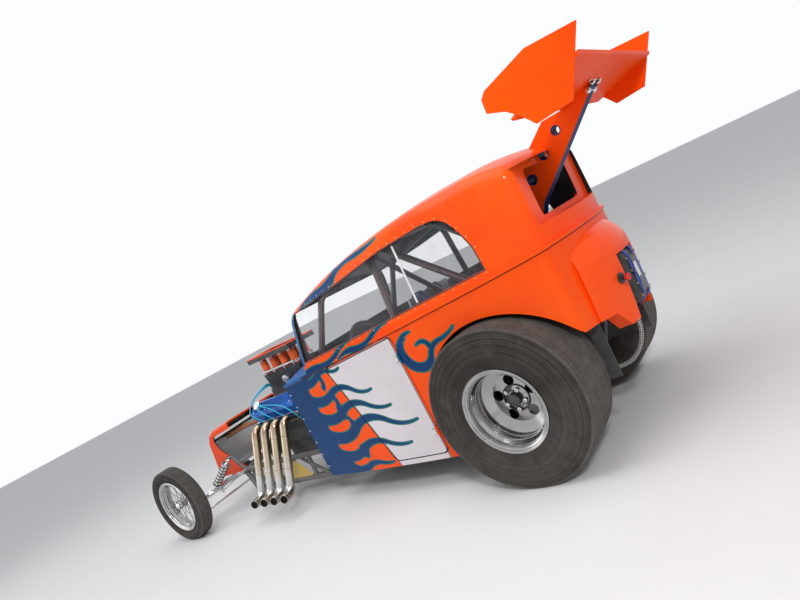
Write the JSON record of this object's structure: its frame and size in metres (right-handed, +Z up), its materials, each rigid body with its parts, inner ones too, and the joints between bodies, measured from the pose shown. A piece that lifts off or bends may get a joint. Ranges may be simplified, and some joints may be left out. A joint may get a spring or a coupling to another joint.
{
  "type": "drag racing car",
  "caption": "Altered drag racing car: chopped saloon body on a tube chassis, open engine with swept header pipes, wide rear slicks and a wing on a pylon through the rear window.",
  "frame": {"origin": "on the ground under the middle of the car's bounding box", "axes": "+X is the car's left, +Y points to the rear, +Z up"},
  "size_m": [1.4402, 4.2554, 1.69],
  "materials": {
    "orange_paint": "high gloss orange",
    "blue_paint": "high gloss dark blue",
    "engine_blue": "gloss blue",
    "chrome": "polished",
    "alloy": "machined",
    "header_steel": "heat tinted stainless",
    "frame_steel": "satin dark grey",
    "cage_paint": "dark maroon",
    "black_metal": "satin black",
    "yellow_metal": "gloss yellow",
    "cast_iron": "painted casting",
    "tyre_rubber": "worn rubber",
    "orange_hose": "silicone hose",
    "black_fabric": "coated fabric",
    "tether_fabric": "braided webbing",
    "seat_fabric": "padded fabric",
    "clear_sheet": "polycarbonate"
  },
  "bodies": {
    "root": {"air_tray": "black_metal", "body_shell": "orange_paint", "boot_lid": "orange_paint", "cabin_panels": "alloy", "coilovers": "chrome", "cowl": "blue_paint", "cylinder_heads": "alloy", "door_hinges": "chrome", "engine_block": "cast_iron", "frame_cross_tubes": "frame_steel", "frame_gussets": "yellow_metal", "frame_left": "frame_steel", "frame_right": "frame_steel", "frame_tail": "frame_steel", "front_axle": "chrome", "front_drive": "alloy", "gearbox": "alloy", "header_left": "header_steel", "header_right": "header_steel", "injector_stacks": "orange_hose", "intake_manifold": "black_metal", "ladder_bars": "black_metal", "magneto": "black_metal", "motor_plates": "alloy", "nose_shell": "orange_paint", "parachute_pack": "black_fabric", "parachute_tether": "tether_fabric", "propshaft": "chrome", "radiator": "alloy", "radius_rods": "chrome", "rear_axle": "black_metal", "rocker_covers": "engine_blue", "roll_cage": "cage_paint", "seat_pad": "seat_fabric", "seat_shell": "alloy", "side_windows": "clear_sheet", "steering_box": "black_metal", "wheel_tubs": "alloy", "wing_blade": "orange_paint", "wing_end_plates": "orange_paint", "wing_pylon": "orange_paint"},
    "rear_wheel_left": {"rear_wheel_left": "chrome", "rear_tyre_left": "tyre_rubber"},
    "rear_wheel_right": {"rear_wheel_right": "chrome", "rear_tyre_right": "tyre_rubber"},
    "knuckle_left": {"knuckle_left": "chrome"},
    "knuckle_right": {"knuckle_right": "chrome"},
    "front_wheel_left": {"front_wheel_left": "chrome", "front_tyre_left": "tyre_rubber"},
    "front_wheel_right": {"front_wheel_right": "chrome", "front_tyre_right": "tyre_rubber"},
    "tie_rod": {"tie_rod": "chrome"},
    "pitman_arm": {"pitman_arm": "chrome"},
    "drag_link": {"drag_link": "chrome"},
    "steering_wheel": {"steering_wheel": "black_metal"},
    "door_left": {"door_left": "orange_paint"},
    "door_right": {"door_right": "orange_paint"}
  },
  "joints": [
    {"name": "rear_left_spin", "type": "hinge", "parent": "root", "child": "rear_wheel_left", "pos_m": [0.502, 1.18775, 0.394], "axis": [1, 0, 0], "continuous": true},
    {"name": "rear_right_spin", "type": "hinge", "parent": "root", "child": "rear_wheel_right", "pos_m": [-0.502, 1.18775, 0.394], "axis": [1, 0, 0], "continuous": true},
    {"name": "steer_left", "type": "hinge", "parent": "root", "child": "knuckle_left", "pos_m": [0.56, -1.84125, 0.215], "axis": [0, 0, 1], "range_deg": [-20, 20]},
    {"name": "steer_right", "type": "hinge", "parent": "root", "child": "knuckle_right", "pos_m": [-0.56, -1.84125, 0.215], "axis": [0, 0, 1], "range_deg": [-20, 20]},
    {"name": "front_left_spin", "type": "hinge", "parent": "knuckle_left", "child": "front_wheel_left", "pos_m": [0.6625, -1.84125, 0.2865], "axis": [1, 0, 0], "continuous": true},
    {"name": "front_right_spin", "type": "hinge", "parent": "knuckle_right", "child": "front_wheel_right", "pos_m": [-0.6625, -1.84125, 0.2865], "axis": [1, 0, 0], "continuous": true},
    {"name": "tie_rod_swivel", "type": "hinge", "parent": "knuckle_left", "child": "tie_rod", "pos_m": [0.56, -1.72125, 0.146], "axis": [0, 0, 1], "range_deg": [-20, 20]},
    {"name": "pitman_turn", "type": "hinge", "parent": "root", "child": "pitman_arm", "pos_m": [0.215, -1.57225, 0.2], "axis": [0, 0, 1], "range_deg": [-20, 20]},
    {"name": "drag_link_swivel", "type": "hinge", "parent": "pitman_arm", "child": "drag_link", "pos_m": [0.215, -1.45225, 0.196], "axis": [0, 0, 1], "range_deg": [-20, 20]},
    {"name": "steering_wheel_turn", "type": "hinge", "parent": "root", "child": "steering_wheel", "pos_m": [0, 0.06775, 0.815], "axis": [0, 0.9296, 0.3686], "range_deg": [-120, 120]},
    {"name": "door_left_hinge", "type": "hinge", "parent": "root", "child": "door_left", "pos_m": [0.53253, 0.68575, 0.33], "axis": [0.0318, 0, 0.9995], "range_deg": [0, 60]},
    {"name": "door_right_hinge", "type": "hinge", "parent": "root", "child": "door_right", "pos_m": [-0.53253, 0.68575, 0.33], "axis": [-0.0318, 0, 0.9995], "range_deg": [-60, 0]}
  ],
  "couplings": [
    {"joint": "steering_wheel_turn", "follows": "steer_left", "ratio": 6},
    {"joint": "rear_right_spin", "follows": "rear_left_spin", "ratio": 1},
    {"joint": "steer_right", "follows": "steer_left", "ratio": 1},
    {"joint": "tie_rod_swivel", "follows": "steer_left", "ratio": -1},
    {"joint": "pitman_turn", "follows": "steer_left", "ratio": 1},
    {"joint": "drag_link_swivel", "follows": "steer_left", "ratio": -1}
  ]
}
